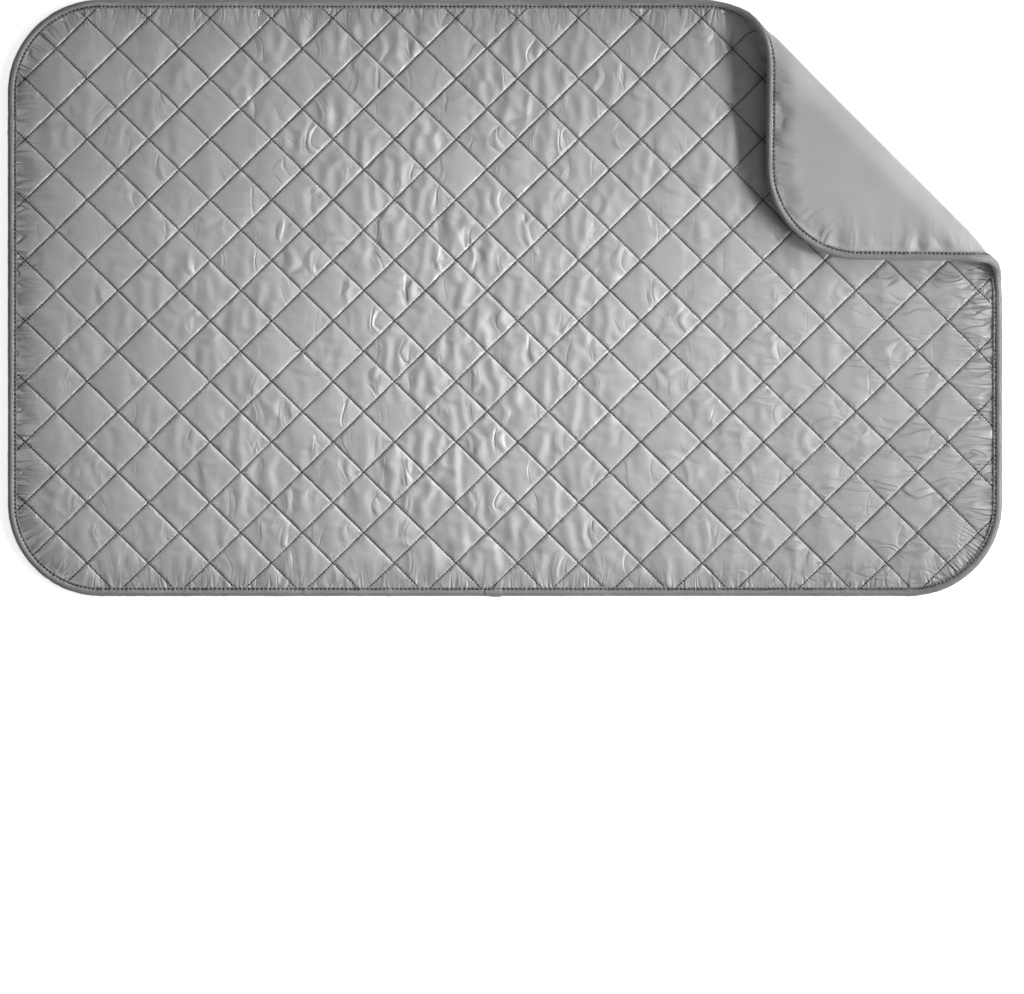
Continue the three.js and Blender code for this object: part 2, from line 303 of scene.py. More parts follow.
ROW_SPACING = QUILT_PITCH.prod() / np.linalg.norm(QUILT_PITCH)
backing_flat, backing_faces, backing_rim, backing_at = sheet_grid(BACKING_STEPS, LAYER_INSET)
backing_under = layer_height(backing_flat, BACKING_MIDDLE, BACKING_RIM)
# Once turned over, nothing presses the cloth flat: it lies in shallow swells, and in short gathers
# where the binding's seam draws it in.
backing_shape = (2 * QUILT_ROWS * BACKING_STEPS + 1,) * 2
backing_spacing = ROW_SPACING / BACKING_STEPS
backing_depth, backing_way = edge_depth(backing_flat)
swells = soft_noise(backing_shape, backing_spacing, (30 * MM, 30 * MM), seed=4)[backing_at]
end_gathers = soft_noise(backing_shape, backing_spacing, (16 * MM, 5 * MM), seed=5)[backing_at]
side_gathers = soft_noise(backing_shape, backing_spacing, (5 * MM, 16 * MM), seed=6)[backing_at]
gathers = end_gathers * backing_way[:, 0] ** 2 + side_gathers * backing_way[:, 1] ** 2
near_seam = np.exp(-np.maximum(backing_depth - LEAF_INSET, 0) / BACKING_GATHER_REACH)
near_seam *= smooth(backing_depth, 0.8 * LEAF_INSET, LEAF_INSET + 4 * MM)
is_turned = smooth((backing_flat - ROLL_START) @ TOWARDS_CORNER, 10 * MM, 70 * MM)
clear_of_tape = smooth(backing_depth, LEAF_INSET, LEAF_INSET + 20 * MM)
backing_under -= is_turned * BACKING_SWELL * clear_of_tape * (swells + 2)
backing_under -= is_turned * BACKING_GATHER * near_seam * (gathers + 1.5)
backing = closed_sheet(
    "backing_cloth_sheet", backing_flat, backing_faces, backing_rim,
    turned(backing_flat, backing_under + BACKING_THICKNESS),
    turned(backing_flat, backing_under),
)
backing.data.materials.append(
    woven_polyester("woven_polyester_backing", "#a3a3a3", "#acacab", 1.2 * MM, 0.6, 0.15, 1.1 * MM)
)
keep_creases(backing, "gather", rim_place(backing_flat), near_seam)
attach(backing, "root")
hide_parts("backing_cloth")

# Inner layers: felt, scrim and wadding
# A needled cotton felt that holds back the heat, the thin non-woven scrim that the quilting is sewn
# through, and the lofted polyester wadding. They are cut to one outline and pressed flat in the binding.
INNER_STEPS = 8


def fibre_mat(name, colour, shadow, fibre_length, roughness):
    """A mat of loose fibres: pale and matt, with a fine tangle in relief that breaks up its tone, painted
    darker in its hollows as painted shade.
    """
    material, tree = new_material(name)
    place = put(tree, "ShaderNodeAttribute", attribute_name="flat_place").outputs["Vector"]
    tangle = put(tree, "ShaderNodeTexNoise", {"Vector": place, "Scale": 1 / fibre_length, "Detail": 5.0})
    ramp = put(tree, "ShaderNodeValToRGB", {"Fac": tangle.outputs["Fac"]})
    ramp.color_ramp.elements[0].color = linear(shadow)
    ramp.color_ramp.elements[1].color = linear(colour)
    relief = put(tree, "ShaderNodeBump", {
        "Height": tangle.outputs["Fac"], "Strength": 0.4, "Distance": 0.3 * MM,
    })
    surface = put(tree, "ShaderNodeBsdfPrincipled", {
        "Base Color": ramp.outputs["Color"],
        "Roughness": roughness,
        "Normal": relief.outputs["Normal"],
    })
    put(tree, "ShaderNodeOutputMaterial", {"Surface": surface.outputs["BSDF"]})
    return material


inner_flat, inner_faces, inner_rim, _ = sheet_grid(INNER_STEPS, LAYER_INSET)


def inner_layer(node, middle, rim, material):
    """One inner layer between its under and upper heights, in millimetres, in its middle and at its rim."""
    layer = closed_sheet(
        node + "_sheet", inner_flat, inner_faces, inner_rim,
        turned(inner_flat, layer_height(inner_flat, middle[1] * MM, rim[1] * MM)),
        turned(inner_flat, layer_height(inner_flat, middle[0] * MM, rim[0] * MM)),
    )
    layer.data.materials.append(material)
    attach(layer, "root")
    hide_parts(node)


inner_layer("heat_felt", (0.7, 2.2), (2.5, 3.1),
            fibre_mat("needled_cotton_felt", "#d9d4c8", "#b9b2a3", 2 * MM, 0.95))
inner_layer("quilt_scrim", (2.5, 2.7), (3.4, 3.6),
            fibre_mat("non_woven_scrim", "#e4e3df", "#cfcdc7", 4 * MM, 0.9))
inner_layer("quilt_wadding", (3.0, 4.4), (3.9, 4.4),
            fibre_mat("polyester_wadding", "#f0efea", "#dedcd5", 6 * MM, 0.95))

# Quilted cover
# Cotton cloth with a silver heat-reflecting coat, quilted in diamonds to the wadding under it.
# The thread draws it down along every row, and the spare cloth between the rows wrinkles.
COVER_STEPS = 20
COVER_CROWDING = 0.7
COVER_UNDER = 4.7 * MM
COVER_RIM = 4.9 * MM
STITCH_HEIGHT = 5.3 * MM
WALL = 1.3 * MM
WALL_REACH = 0.6 * MM
CUSHION = 1.0 * MM
# How far in from the binding the cover rises, stays calm, is gathered, and is drawn by the ends of the fold.
RIM_RISE = 15 * MM
CALM_RIM = 25 * MM
COVER_GATHER_REACH = 14 * MM
FOLD_END_REACH = 40 * MM
SEAM_CLEARANCE = 2 * MM
# The heights of the wrinkles: upright ripples, gathers by the binding, and arcs round the diamonds' corners.
RIPPLE = 0.24 * MM
GATHER = 0.35 * MM
ARC = 0.65 * MM
# Where the wrinkles change along the pad: the centre and reach of its wrinkled middle, and the places
# between which its right part and its right end set in.
MIDDLE_PART = (-60 * MM, 200 * MM)
RIGHT_PART = (80 * MM, 300 * MM)
END_PART = (240 * MM, 380 * MM)
# The least radius, wave length and width of an arc, each with the most that chance adds to it.
ARC_RADIUS = (11 * MM, 6 * MM)
ARC_LENGTH = (7.5 * MM, 3 * MM)
ARC_WIDTH = (3.5 * MM, 1.5 * MM)
ARC_BEND = 2.2 * MM
ARC_SEED = 30
# The radii round a corner between which fine creases set in, and between which the upright ones fade.
UPRIGHT_STARTS = (9 * MM, 13 * MM)
UPRIGHT_ENDS = (16 * MM, 24 * MM)
LEVEL_STARTS = (4 * MM, 9 * MM)
CREASE_BEND = 1.5 * MM
# Creases too fine for the mesh: kind, pitch, length, width as a share of their noise, depth, and the share
# of painted shade that darkens their colour.
COVER_CREASES = (
    ("gather", 7.5 * MM, 30 * MM, 0.14, 0.9 * MM, 0.4),
    ("upright", 12 * MM, 30 * MM, 0.1, 0.5 * MM, 0.06),
    ("level", 9 * MM, 30 * MM, 0.12, 0.7 * MM, 0.25),
    ("pucker", 6 * MM, 8 * MM, 0.15, 0.4 * MM, 0.0),
)
# The cloth is settled at a hundred times its size, because the simulation is made for larger things.
SIMULATION_SCALE = 100
SIMULATION_FRAMES = 20

cover_flat, cover_faces, cover_rim, cover_at = sheet_grid(COVER_STEPS, LAYER_INSET, COVER_CROWDING)
cover_shape = (2 * QUILT_ROWS * COVER_STEPS + 1,) * 2
cover_spacing = ROW_SPACING / COVER_STEPS
rising_row, falling_row = quilt_place(cover_flat)
to_rising = np.abs(rising_row - np.round(rising_row)) * ROW_SPACING
to_falling = np.abs(falling_row - np.round(falling_row)) * ROW_SPACING
cover_depth, cover_way = edge_depth(cover_flat)
to_binding = np.maximum(cover_depth - LEAF_INSET, 0)
to_row = np.minimum(to_rising, to_falling)
to_seam = np.minimum(to_row, to_binding)
dome = np.abs(np.sin(math.pi * rising_row) * np.sin(math.pi * falling_row)) * smooth(to_binding, 0, CALM_RIM)
base = COVER_RIM + (STITCH_HEIGHT - COVER_RIM) * smooth(cover_depth, LEAF_INSET, RAMP_INSET)


def cover_noise(length_x, length_y, seed):
    """Soft noise at the cover's points, with its lengths along the pad and across it in millimetres."""
    return soft_noise(cover_shape, cover_spacing, (length_x * MM, length_y * MM), seed)[cover_at]


upright = cover_noise(3, 8, seed=3)
patchy = 0.5 + 0.5 * np.tanh(1.5 * cover_noise(20, 20, seed=9))
# Spare cloth buckles in arcs round the corners of the diamonds: one or two short waves that run from
# row to row. Those round the right corners are marked in the middle of the pad, and those round the
# lower corners at its right end.
diamond = tuple(np.floor(row).astype(int) + QUILT_ROWS for row in (rising_row, falling_row))
bend_noise = cover_noise(8, 8, seed=5)
broken = smooth(cover_noise(6, 6, seed=10), -0.9, 0.8)
middle_share = np.exp(-((cover_flat[:, 0] - MIDDLE_PART[0]) / MIDDLE_PART[1]) ** 2)
right_share = smooth(cover_flat[:, 0], *RIGHT_PART)
end_share = smooth(cover_flat[:, 0], *END_PART)
# How marked the arcs are round the right, left, upper and lower corner of a diamond.
corner_shares = {
    (1, 1): 0.4 + 0.7 * middle_share,
    (0, 0): 0.2 + 0.55 * middle_share,
    (1, 0): 0.4 + 0.2 * middle_share + 0.6 * right_share,
    (0, 1): 0.2 + 0.3 * middle_share + 0.9 * right_share,
}
arcs, arc_slack = np.zeros(len(cover_flat)), np.zeros(len(cover_flat))
crease_place = {kind: np.zeros((len(cover_flat), 3)) for kind in ("upright", "level")}
crease_strength = {kind: np.zeros(len(cover_flat)) for kind in ("upright", "level")}
for number, (corner, share) in enumerate(corner_shares.items()):
    draws = np.random.default_rng(ARC_SEED + number).random((4,) + (2 * QUILT_ROWS + 2,) * 2)
    draw = draws[(slice(None), *diamond)]
    strength = share * smooth(draw[0], 0.15, 0.9)
    off = [row - np.floor(row) - end for row, end in zip((rising_row, falling_row), corner)]
    off_x, off_y = (off[0] + off[1]) * QUILT_PITCH[0] / 2, (off[0] - off[1]) * QUILT_PITCH[1] / 2
    radius = np.hypot(off_x, off_y) + ARC_BEND * bend_noise
    # Fine creases lie in the corner's own half of the diamond, in flatter arcs.
    if corner[0] == corner[1]:
        kind, across, along, half = "upright", off_x, off_y, QUILT_PITCH[0] / 2
        marked = strength
        fade = smooth(radius, *UPRIGHT_STARTS) * (1 - smooth(radius, *UPRIGHT_ENDS))
    else:
        kind, across, along, half = "level", off_y, off_x, QUILT_PITCH[1] / 2
        marked = (0.4 * right_share + 0.45 * end_share) * smooth(draw[0], 0, 0.7)
        fade = smooth(radius, *LEVEL_STARTS) * (1 - smooth(np.abs(across), 0.7 * half, half))
    near = np.abs(across) <= half
    flatter = np.hypot(across, 0.6 * along) + CREASE_BEND * bend_noise
    crease_place[kind][near] = np.column_stack([flatter, draw[1], along])[near]
    crease_strength[kind][near] = (marked * fade)[near]
    strength = strength * broken * smooth(to_binding, 4 * MM, CALM_RIM)
    middle_radius, length, width = (
        least + more * chance for (least, more), chance in zip((ARC_RADIUS, ARC_LENGTH, ARC_WIDTH), draw[1:])
    )
    packet = np.exp(-((radius - middle_radius) / width) ** 2)
    arcs += strength * packet * np.cos(2 * math.pi * (radius - middle_radius) / length)
    arc_slack += strength * packet
# Gathers run in from the binding, square to it, because its seam draws the cover in.
near_binding = np.exp(-to_binding / COVER_GATHER_REACH)
across_ends = cover_noise(14, 2.5, seed=6)
across_sides = cover_noise(2.5, 14, seed=7)
gathered = across_ends * cover_way[:, 0] ** 2 + across_sides * cover_way[:, 1] ** 2
fold_ends = ROLL_START + np.outer([0, math.hypot(ROLL_ON_LENGTH, ROLL_ON_WIDTH)], ALONG_CREASE)
to_fold_end = np.minimum(*[np.linalg.norm(cover_flat - end, axis=1) for end in fold_ends])
near_fold_end = np.exp(-(to_fold_end / FOLD_END_REACH) ** 2)
wall = (1 - np.exp(-to_row / WALL_REACH)) * (1 - np.exp(-to_binding / RIM_RISE))
start_height = base + WALL * wall + CUSHION * dome
ripples = upright * patchy * (0.35 + 0.65 * middle_share)
clear_of_seam = 1 - np.exp(-to_seam / SEAM_CLEARANCE)
start_height += (RIPPLE * ripples + ARC * arcs) * clear_of_seam
drawn_up = near_binding + 0.4 * near_fold_end
start_height += GATHER * gathered * drawn_up * (1 - np.exp(-to_seam / (0.75 * SEAM_CLEARANCE)))
held_down = np.where(to_seam < 0.05 * MM, 1.0, 0.4 + 0.4 * np.exp(-(to_seam / (2.5 * MM)) ** 2))


def settled(start, faces, held, slack):
    """Lets the cover's spare cloth buckle on its soft wadding, held along its seams."""
    mesh = bpy.data.meshes.new("settling_cloth")
    mesh.from_pydata((start * SIMULATION_SCALE).tolist(), [], faces.tolist())
    cloth = bpy.data.objects.new("settling_cloth", mesh)
    bpy.context.scene.collection.objects.link(cloth)
    pins = cloth.vertex_groups.new(name="pins")
    for level in range(40, 101):
        pins.add(np.flatnonzero(np.round(held * 100) == level).tolist(), level / 100, "REPLACE")
    spare = cloth.vertex_groups.new(name="spare")
    for level in range(11):
        spare.add(np.flatnonzero(np.round(slack * 10) == level).tolist(), 1 - level / 10, "REPLACE")
    modifier = cloth.modifiers.new("cloth", "CLOTH")
    settings = modifier.settings
    settings.quality = 5
    settings.mass = 0.3
    settings.tension_stiffness = settings.compression_stiffness = 15
    settings.shear_stiffness = 5
    settings.bending_stiffness = 2
    settings.vertex_group_mass = "pins"
    settings.vertex_group_shrink = "spare"
    settings.shrink_min = -0.04
    settings.shrink_max = 0
    settings.effector_weights.gravity = 0
    modifier.collision_settings.use_collision = False
    modifier.point_cache.frame_end = SIMULATION_FRAMES
    scene = bpy.context.scene
    for step in range(1, SIMULATION_FRAMES + 1):
        scene.frame_set(step)
    result = cloth.evaluated_get(bpy.context.evaluated_depsgraph_get()).to_mesh()
    points = np.empty(len(start) * 3, np.float32)
    result.vertices.foreach_get("co", points)
    bpy.data.objects.remove(cloth)
    bpy.data.meshes.remove(mesh)
    scene.frame_set(1)
    return points.reshape(-1, 3).astype(float) / SIMULATION_SCALE


cover_top = np.column_stack([cover_flat, start_height])
to_crease = np.abs((cover_flat - ROLL_START) @ TOWARDS_CORNER)
slack = 0.1 + 0.8 * arc_slack + 0.35 * patchy * middle_share + 0.3 * np.exp(-(to_crease / (30 * MM)) ** 2)
slack *= smooth(to_binding, 0, CALM_RIM)
cover_top = settled(cover_top, cover_faces, held_down, np.clip(slack, 0, 1))


# Silver-coated cotton: a fine aluminium coat on plain weave, so it glints like satin metal. The threads are
# drawn 1 mm apart, about twice as coarse as real ones, so that they show. Creases too fine for the mesh are
# drawn as relief, with painted shade darkening the colour in them.
def silver_coated_cotton():
    material, tree = new_material("silver_coated_cotton")
    place = put(tree, "ShaderNodeAttribute", attribute_name="flat_place").outputs["Vector"]
    scale = wave_scale(1.0 * MM)
    warp = put(tree, "ShaderNodeTexWave", {"Vector": place, "Scale": scale}, bands_direction="X")
    weft = put(tree, "ShaderNodeTexWave", {"Vector": place, "Scale": scale}, bands_direction="Y")
    cloth = put(tree, "ShaderNodeMath", {0: warp.outputs["Fac"], 1: weft.outputs["Fac"]}, operation="MAXIMUM")
    cloud = put(tree, "ShaderNodeTexNoise", {"Vector": place, "Scale": 1 / (40 * MM), "Detail": 4.0})
    ramp = put(tree, "ShaderNodeValToRGB", {"Fac": cloud.outputs["Fac"]})
    ramp.color_ramp.elements[0].position = 0.3
    ramp.color_ramp.elements[0].color = linear("#a9a9aa")
    ramp.color_ramp.elements[1].position = 0.7
    ramp.color_ramp.elements[1].color = linear("#b1b1b0")
    gloss = put(tree, "ShaderNodeMapRange", {
        "Value": cloud.outputs["Fac"], "From Min": 0.3, "From Max": 0.7, "To Min": 0.47, "To Max": 0.53,
    })
    relief = put(tree, "ShaderNodeBump", {
        "Height": cloth.outputs["Value"], "Strength": 0.12, "Distance": 0.1 * MM,
    })
    crumple = put(tree, "ShaderNodeTexNoise", {"Vector": place, "Scale": 1 / (14 * MM), "Detail": 0.5})
    crumpled = put(tree, "ShaderNodeBump", {
        "Height": crumple.outputs["Fac"], "Strength": 1.0, "Distance": 1.1 * MM,
        "Normal": relief.outputs["Normal"],
    })
    normal, colour = crumpled.outputs["Normal"], ramp.outputs["Color"]
    for crease in COVER_CREASES:
        normal, colour = creased(tree, normal, colour, *crease)
    surface = put(tree, "ShaderNodeBsdfPrincipled", {
        "Base Color": colour,
        "Metallic": 0.24,
        "Roughness": gloss.outputs["Result"],
        "Normal": normal,
    })
    put(tree, "ShaderNodeOutputMaterial", {"Surface": surface.outputs["BSDF"]})
    return material


cover = closed_sheet(
    "quilted_cover_cloth", cover_flat, cover_faces, cover_rim,
    turned(cover_top[:, :2], cover_top[:, 2]),
    turned(cover_flat, np.full(len(cover_flat), COVER_UNDER)),
)
cover.data.materials.append(silver_coated_cotton())
gather_reach = (9 + 10 * right_share * cover_way[:, 0] ** 8) * MM
drawn_in = (0.5 + 0.5 * cover_way[:, 0] ** 2) * np.exp(-to_binding / gather_reach)
keep_creases(cover, "gather", rim_place(cover_flat), drawn_in + 0.25 * near_fold_end)
for kind in ("upright", "level"):
    keep_creases(cover, kind, crease_place[kind], crease_strength[kind] * clear_of_seam)
row_length = np.linalg.norm(QUILT_PITCH) / 2
on_rising = to_rising < to_falling
along_row = np.where(on_rising, falling_row, rising_row) * row_length
row_number = np.where(on_rising, np.round(rising_row), np.round(falling_row) + 0.5)
keep_creases(cover, "pucker", np.column_stack([along_row, row_number, to_row]), np.exp(-to_row / (2 * MM)))
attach(cover, "root")
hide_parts("quilted_cover")

# Quilting thread
# Two sets of slanting rows of lockstitch that hold the cover down to the scrim: one set rises to the
# right, the other falls. Each stitch is a short length of dark spun polyester between two holes, drawn
# wider and darker than real thread so that it also paints the shade of its groove and needle holes.
QUILT_STITCH_PITCH = 2.7 * MM
QUILT_STITCH_LENGTH = 2.5 * MM
QUILT_THREAD = 1.15 * MM
ROW_END_DEPTH = 7.0 * MM
GUIDE_STEP = 1.0 * MM


# Spun polyester thread: matt, dark and slightly fuzzy, with the lighter flecks of its twist.
def spun_thread(name, dark, light):
    material, tree = new_material(name)
    place = put(tree, "ShaderNodeTexCoord").outputs["Object"]
    fleck = put(tree, "ShaderNodeTexNoise", {"Vector": place, "Scale": 1 / (1.11 * MM), "Detail": 2.0})
    ramp = put(tree, "ShaderNodeValToRGB", {"Fac": fleck.outputs["Fac"]})
    ramp.color_ramp.elements[0].position = 0.35
    ramp.color_ramp.elements[0].color = linear(dark)
    ramp.color_ramp.elements[1].position = 0.7
    ramp.color_ramp.elements[1].color = linear(light)
    surface = put(tree, "ShaderNodeBsdfPrincipled", {
        "Base Color": ramp.outputs["Color"],
        "Roughness": 0.9,
    })
    put(tree, "ShaderNodeOutputMaterial", {"Surface": surface.outputs["BSDF"]})
    return material


def stitch_tree():
    """Sets stitches along guide lines: each is a small spindle that lies along its row, on the cloth."""
    tree = bpy.data.node_groups.new("sewn_stitches", "GeometryNodeTree")
    tree.interface.new_socket("Guides", in_out="INPUT", socket_type="NodeSocketGeometry")
    for label in ("Pitch", "Length", "Thread", "Rise", "Turn"):
        tree.interface.new_socket(label, in_out="INPUT", socket_type="NodeSocketFloat")
    tree.interface.new_socket("Thread Material", in_out="INPUT", socket_type="NodeSocketMaterial")
    tree.interface.new_socket("Stitches", in_out="OUTPUT", socket_type="NodeSocketGeometry")
    given = put(tree, "NodeGroupInput").outputs
    row = put(tree, "GeometryNodeMeshToCurve", {"Mesh": given["Guides"]})
    spaced = put(tree, "GeometryNodeResampleCurve", {"Curve": row.outputs["Curve"], "Length": given["Pitch"]},
                 mode="LENGTH")
    spindle = put(tree, "GeometryNodeMeshUVSphere", {"Segments": 5, "Rings": 4, "Radius": 0.5})
    lying = put(tree, "GeometryNodeTransform", {
        "Geometry": spindle.outputs["Mesh"], "Rotation": (0, math.pi / 2, 0),
    })
    size = put(tree, "ShaderNodeCombineXYZ", {
        "X": given["Length"], "Y": given["Thread"], "Z": given["Rise"],
    })
    way = put(tree, "GeometryNodeInputTangent")
    up = put(tree, "GeometryNodeInputNamedAttribute", {"Name": "up"}, data_type="FLOAT_VECTOR")
    along = put(tree, "FunctionNodeAlignRotationToVector", {"Vector": way.outputs["Tangent"]}, axis="X")
    upright = put(tree, "FunctionNodeAlignRotationToVector", {
        "Rotation": along.outputs["Rotation"], "Vector": up.outputs["Attribute"],
    }, axis="Z", pivot_axis="X")
    spin = put(tree, "ShaderNodeCombineXYZ", {"Z": given["Turn"]})
    turned_stitch = put(tree, "FunctionNodeRotateRotation", {
        "Rotation": upright.outputs["Rotation"], "Rotate By": spin.outputs["Vector"],
    }, rotation_space="LOCAL")
    placed = put(tree, "GeometryNodeInstanceOnPoints", {
        "Points": spaced.outputs["Curve"],
        "Instance": lying.outputs["Geometry"],
        "Rotation": turned_stitch.outputs["Rotation"],
        "Scale": size.outputs["Vector"],
    })
    made = put(tree, "GeometryNodeRealizeInstances", {"Geometry": placed.outputs["Instances"]})
    soft = put(tree, "GeometryNodeSetShadeSmooth", {"Geometry": made.outputs["Geometry"]})
    dressed = put(tree, "GeometryNodeSetMaterial", {
        "Geometry": soft.outputs["Geometry"], "Material": given["Thread Material"],
    })
    put(tree, "NodeGroupOutput", {"Stitches": dressed.outputs["Geometry"]})
    return tree


STITCHES = stitch_tree()


def sewn(name, rows, sizes, material):
    """Sews stitches along rows of points, each row with the way up from the cloth at its points."""
    points = np.vstack([row for row, _ in rows])
    ends = np.cumsum([len(row) for row, _ in rows])
    links = np.setdiff1d(np.arange(len(points) - 1), ends - 1)
    guide = bpy.data.meshes.new(name)
    guide.from_pydata(points.tolist(), np.column_stack([links, links + 1]).tolist(), [])
    guide.attributes.new("up", "FLOAT_VECTOR", "POINT")
    guide.attributes["up"].data.foreach_set("vector", np.vstack([up for _, up in rows]).ravel())
    piece = bpy.data.objects.new(name, guide)
    bpy.context.scene.collection.objects.link(piece)
    modifier = piece.modifiers.new("stitches", "NODES")
    modifier.node_group = STITCHES
    sockets = {item.name: item.identifier for item in STITCHES.interface.items_tree if item.in_out == "INPUT"}
    for label, value in {**sizes, "Thread Material": material}.items():
        modifier[sockets[label]] = value
    graph = bpy.context.evaluated_depsgraph_get()
    mesh = bpy.data.meshes.new_from_object(piece.evaluated_get(graph), depsgraph=graph)
    piece.modifiers.remove(modifier)
    piece.data = mesh
    bpy.data.meshes.remove(guide)
    mesh.name = name
    return piece


def on_cloth(flat, height, lift):
    """Points on the turned pad, raised from it by the lift, and the way up from the pad there."""
    low, high = turned(flat, height), turned(flat, height + MM)
    up = (high - low) / np.linalg.norm(high - low, axis=1)[:, None]
    return low + up * lift, up


def quilt_rows(rising):
    """The rows of one set, as points on the turned cover in its seams."""
    rows = []
    for row in range(-QUILT_ROWS, QUILT_ROWS + 1):
        other = np.arange(-QUILT_ROWS, QUILT_ROWS, GUIDE_STEP / ROW_SPACING)
        first, second = (np.full(len(other), row), other) if rising else (other, np.full(len(other), row))
        half_turns = np.column_stack([first + second, first - second]) / 2
        flat = QUILT_CROSSING + QUILT_PITCH * half_turns
        flat = flat[edge_depth(flat)[0] > ROW_END_DEPTH]
        if len(flat) > 2:
            depth, _ = edge_depth(flat)
            height = COVER_RIM + (STITCH_HEIGHT - COVER_RIM) * smooth(depth, LEAF_INSET, RAMP_INSET)
            rows.append(on_cloth(flat, height, 0.25 * QUILT_THREAD))
    return rows


# Near-black thread: partly its own colour, partly painted shade of the groove and needle holes.
quilting_thread_and_shade = spun_thread("spun_polyester_quilting_thread", "#101011", "#202022")
quilting_sizes = {
    "Pitch": QUILT_STITCH_PITCH, "Length": QUILT_STITCH_LENGTH,
    "Thread": QUILT_THREAD, "Rise": 0.6 * QUILT_THREAD, "Turn": 0.0,
}
for name, rising in (("quilting_thread_rising", True), ("quilting_thread_falling", False)):
    thread = sewn(name, quilt_rows(rising), quilting_sizes, quilting_thread_and_shade)
    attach(thread, "root")

# Edge binding
# One woven polyester tape folded over the rim of all the layers and sewn through near its inner rims.
# The seam draws it in at every stitch, and its finished end laps over its start on the front edge.
BINDING_UNDER = 0.8 * MM
BINDING_UPPER = 6.1 * MM
TAPE = 0.5 * MM
LEAF_WIDTH = 7.5 * MM
SEAM_INSET = 5.9 * MM
SEAM_PITCH = 3.5 * MM
SEAM_GROOVE = 0.7 * MM
STITCH_DRAW = 0.55 * MM
TAPE_BULGE = 0.6 * MM
TAPE_PUCKER = 0.2 * MM
FLOOR_GAP = 0.05 * MM
END_JOINT_X = -11 * MM
END_LAP = 8 * MM
LAP_RISE = 4 * MM
STATION_STEP = 0.875 * MM


def outline_stations(step):
    """Points and ways out along the pad's outline, anticlockwise from where the tape starts,
    round once and on over the lap, with the distance run at each."""
    half = np.array([PAD_LENGTH, PAD_WIDTH]) / 2 - CORNER_RADIUS
    quarter = CORNER_RADIUS * math.pi / 2
    runs = [half[0] - END_JOINT_X, quarter, 2 * half[1], quarter, 2 * half[0], quarter, 2 * half[1], quarter,
            half[0] + END_JOINT_X]
    around = sum(runs)
    count = round((around + END_LAP) / step)
    distance = np.linspace(0, around + END_LAP, count + 1)
    left = np.mod(distance, around)
    starts = np.concatenate([[0], np.cumsum(runs)])
    run = np.clip(np.searchsorted(starts, left, side="right") - 1, 0, len(runs) - 1)
    share = (left - starts[run]) / np.array(runs)[run]
    turn = -math.pi / 2 + (run // 2) * math.pi / 2 + np.where(run % 2 == 1, share * math.pi / 2, 0)
    way = np.column_stack([np.cos(turn), np.sin(turn)])
    corners = half * np.array([[1, -1], [1, 1], [-1, 1], [-1, -1]])
    begins = np.vstack([[END_JOINT_X, -half[1]], corners])
    ends = np.vstack([corners, [END_JOINT_X, -half[1]]])
    middle_straight = begins[run // 2] + (ends[run // 2] - begins[run // 2]) * share[:, None]
    middle_corner = corners[np.clip(run // 2, 0, 3)]
    middle = np.where((run % 2 == 1)[:, None], middle_corner, middle_straight)
    return middle + way * CORNER_RADIUS, way, distance, around


def binding_section():
    """The folded tape's outer face as insets and heights, from the under leaf's rim round the fold to the
    upper leaf's rim, with the share of the seam's pull at each point."""
    half = (BINDING_UPPER - BINDING_UNDER) / 2
    middle = BINDING_UNDER + half
    fold_depth = 0.8 * half
    leaf = np.concatenate([
        np.linspace(LEAF_WIDTH, SEAM_INSET + 0.8 * MM, 3),
        np.linspace(SEAM_INSET + 0.4 * MM, SEAM_INSET - 0.4 * MM, 3),
        np.linspace(SEAM_INSET - 1.2 * MM, fold_depth, 4),
    ])
    pull = np.exp(-((leaf - SEAM_INSET) / (0.8 * MM)) ** 2)
    bulge = TAPE_BULGE * np.sin(math.pi * np.clip(leaf / SEAM_INSET, 0, 1)) - SEAM_GROOVE * pull
    bend = np.linspace(-math.pi / 2, math.pi / 2, 9)[1:-1]
    fold_inset = fold_depth * (1 - np.cos(bend))
    fold_height = middle + half * np.sin(bend)
    inset = np.concatenate([leaf, fold_inset, leaf[::-1]])
    height = np.concatenate([BINDING_UNDER - bulge, fold_height, (BINDING_UPPER + bulge)[::-1]])
    lift = np.where(leaf > SEAM_INSET + 0.6 * MM, 0.8, pull)
    share = np.concatenate([lift, np.zeros(len(bend)), lift[::-1]])
    return inset, height, share


